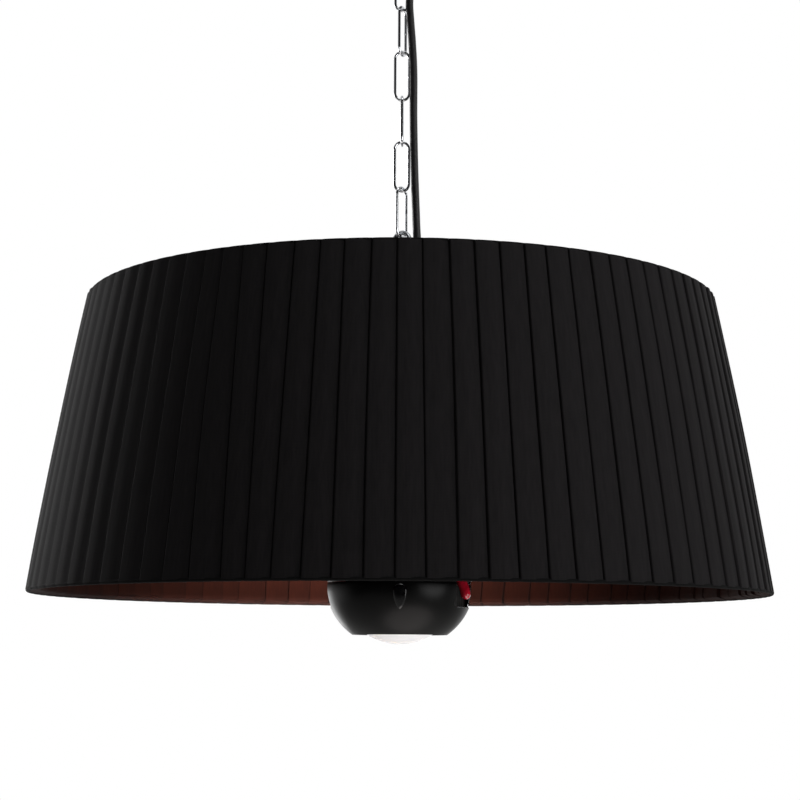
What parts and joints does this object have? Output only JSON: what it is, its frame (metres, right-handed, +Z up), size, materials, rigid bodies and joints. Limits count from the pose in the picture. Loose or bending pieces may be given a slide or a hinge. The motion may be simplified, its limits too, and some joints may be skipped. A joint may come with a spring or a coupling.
{
  "type": "hanging patio heater",
  "caption": "Pendant halogen patio heater: a ball-shaped head with ruby lamps and an opal bulb inside a pleated dark fabric shade, hung by a chain from a ceiling canopy.",
  "frame": {"origin": "centre of the ceiling plate's top face, where it meets the ceiling", "axes": "+Z up toward the ceiling, -Y toward the front with the receiver lens, +X toward the viewer's right"},
  "size_m": [0.599, 0.599, 0.6368],
  "materials": {
    "chrome": "polished plating",
    "black_metal": "gloss black enamel",
    "black_fabric": "pleated woven fabric",
    "brown_lining": "dark red-brown lining",
    "black_rubber": "matt cable jacket",
    "black_plastic": "moulded, low sheen",
    "white_plastic": "ceramic and moulded insulator",
    "steel": "zinc plated",
    "polished_aluminium": "polished reflector",
    "ruby_glass": "ruby coated quartz",
    "opal_glass": "white opal",
    "circuit_board": "solder mask"
  },
  "bodies": {
    "ceiling_mount": {"ceiling_plate": "steel", "ceiling_canopy": "black_metal", "ceiling_eye": "chrome", "eye_locknut": "chrome", "canopy_screw_left": "chrome", "canopy_screw_right": "chrome", "ceiling_cord_grip": "black_plastic", "supply_cable": "black_rubber"},
    "link_1": {"chain_link_1": "chrome"},
    "link_2": {"chain_link_2": "chrome"},
    "link_3": {"chain_link_3": "chrome"},
    "link_4": {"chain_link_4": "chrome"},
    "link_5": {"chain_link_5": "chrome"},
    "link_6": {"chain_link_6": "chrome"},
    "heater": {"eye_bolt": "steel", "hanger_nut_upper": "steel", "hanger_nut_lower": "steel", "top_plate": "black_metal", "cable_gland": "black_plastic", "gland_nut": "black_plastic", "plate_screw_1": "chrome", "plate_screw_2": "chrome", "plate_screw_3": "chrome", "shade_cover": "black_fabric", "shade_lining": "brown_lining", "shade_hem": "black_fabric", "shade_top_trim": "black_fabric", "shade_top_ring": "black_metal", "shade_bottom_ring": "black_metal", "spider_arm_1": "black_metal", "spider_arm_2": "black_metal", "spider_arm_3": "black_metal", "control_housing": "black_metal", "housing_base": "black_metal", "control_board": "circuit_board", "terminal_block": "white_plastic", "power_relay": "black_plastic", "receiver_module": "black_plastic", "ball_upper_shell": "black_metal", "ball_lower_shell": "black_metal", "receiver_lens": "black_plastic", "neck_tube": "steel", "heat_shield": "polished_aluminium", "baffle_ring": "black_metal", "lamp_bracket": "steel", "reflector_1": "polished_aluminium", "reflector_2": "polished_aluminium", "heat_lamp_1": "ruby_glass", "heat_lamp_2": "ruby_glass", "lamp_cap_1": "white_plastic", "lamp_cap_2": "white_plastic", "lamp_holder_1": "steel", "lamp_holder_2": "steel", "opal_bulb": "opal_glass", "bulb_cap": "steel", "bulb_holder": "white_plastic"}
  },
  "joints": [
    {"name": "link_1_swing", "type": "hinge", "parent": "ceiling_mount", "child": "link_1", "pos_m": [0, 0, -0.06], "axis": [0, 1, 0], "range_deg": [-8, 8], "deforming": ["supply_cable"]},
    {"name": "link_2_swing", "type": "hinge", "parent": "link_1", "child": "link_2", "pos_m": [0, 0, -0.09895], "axis": [1, 0, 0], "range_deg": [-8, 8], "deforming": ["supply_cable"]},
    {"name": "link_3_swing", "type": "hinge", "parent": "link_2", "child": "link_3", "pos_m": [0, 0, -0.13865], "axis": [0.454, 0.891, 0], "range_deg": [-8, 8], "deforming": ["supply_cable"]},
    {"name": "link_4_swing", "type": "hinge", "parent": "link_3", "child": "link_4", "pos_m": [0, 0, -0.17835], "axis": [0.9986, 0.0523, 0], "range_deg": [-8, 8], "deforming": ["supply_cable"]},
    {"name": "link_5_swing", "type": "hinge", "parent": "link_4", "child": "link_5", "pos_m": [0, 0, -0.21805], "axis": [0.0349, 0.9994, 0], "range_deg": [-8, 8], "deforming": ["supply_cable"]},
    {"name": "link_6_swing", "type": "hinge", "parent": "link_5", "child": "link_6", "pos_m": [0, 0, -0.25775], "axis": [0.9986, 0.0523, 0], "range_deg": [-8, 8], "deforming": ["supply_cable"]},
    {"name": "heater_swing", "type": "hinge", "parent": "link_6", "child": "heater", "pos_m": [0, 0, -0.29745], "axis": [0.6428, 0.766, 0], "range_deg": [-8, 8], "deforming": ["supply_cable"]}
  ]
}
